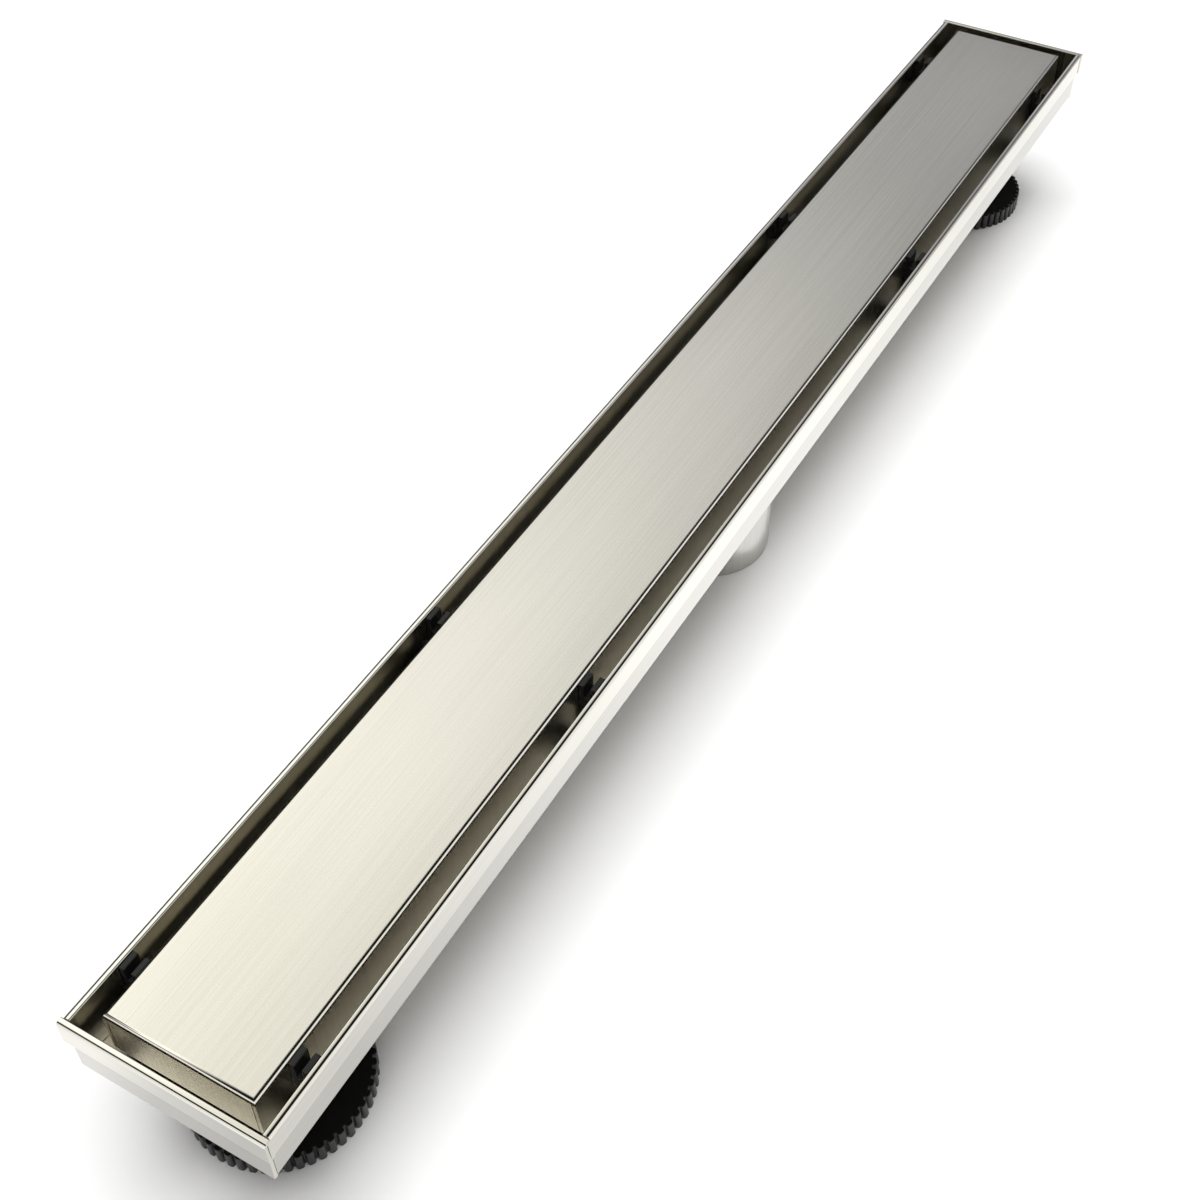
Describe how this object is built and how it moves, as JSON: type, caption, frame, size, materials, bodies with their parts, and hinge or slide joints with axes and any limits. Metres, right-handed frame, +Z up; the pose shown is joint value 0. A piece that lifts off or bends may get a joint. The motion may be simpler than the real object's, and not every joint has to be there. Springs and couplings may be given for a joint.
{
  "type": "linear shower drain",
  "caption": "Long, narrow hemmed sheet-metal shower channel with a flat lift-out cover on spacer clips, a round outlet pipe below and screw-adjusted levelling feet.",
  "frame": {"origin": "on the sub-floor, on the axis of the outlet pipe, at the middle of the drain", "axes": "+Z up, +Y along the drain towards its back end, +X across it"},
  "size_m": [0.0678, 0.61, 0.0664],
  "materials": {
    "trough_nickel": "brushed nickel on folded sheet, brushed along each face",
    "cover_nickel": "brushed nickel, grain along the length",
    "pipe_steel": "satin stainless tube",
    "fastener_steel": "turned stainless",
    "clip_plastic": "satin black moulded plastic",
    "foot_plastic": "satin black moulded plastic with a ribbed rim"
  },
  "bodies": {
    "drain": {"trough_body": "trough_nickel", "end_plate_front": "trough_nickel", "end_plate_back": "trough_nickel", "outlet_pipe": "pipe_steel", "cover_panel": "cover_nickel", "spacer_clip_right_1": "clip_plastic", "spacer_clip_right_2": "clip_plastic", "spacer_clip_right_3": "clip_plastic", "spacer_clip_right_4": "clip_plastic", "spacer_clip_left_1": "clip_plastic", "spacer_clip_left_2": "clip_plastic", "spacer_clip_left_3": "clip_plastic", "spacer_clip_left_4": "clip_plastic", "long_nut_front": "fastener_steel", "long_nut_back": "fastener_steel", "lock_nut_front": "fastener_steel", "lock_nut_back": "fastener_steel"},
    "front_foot": {"foot_disc_front": "foot_plastic", "foot_stud_front": "fastener_steel"},
    "back_foot": {"foot_disc_back": "foot_plastic", "foot_stud_back": "fastener_steel"}
  },
  "joints": [
    {"name": "front_foot_height", "type": "slide", "parent": "drain", "child": "front_foot", "axis": [0, 0, 1], "range_m": [-0.005, 0.006]},
    {"name": "back_foot_height", "type": "slide", "parent": "drain", "child": "back_foot", "axis": [0, 0, 1], "range_m": [-0.005, 0.006]}
  ]
}
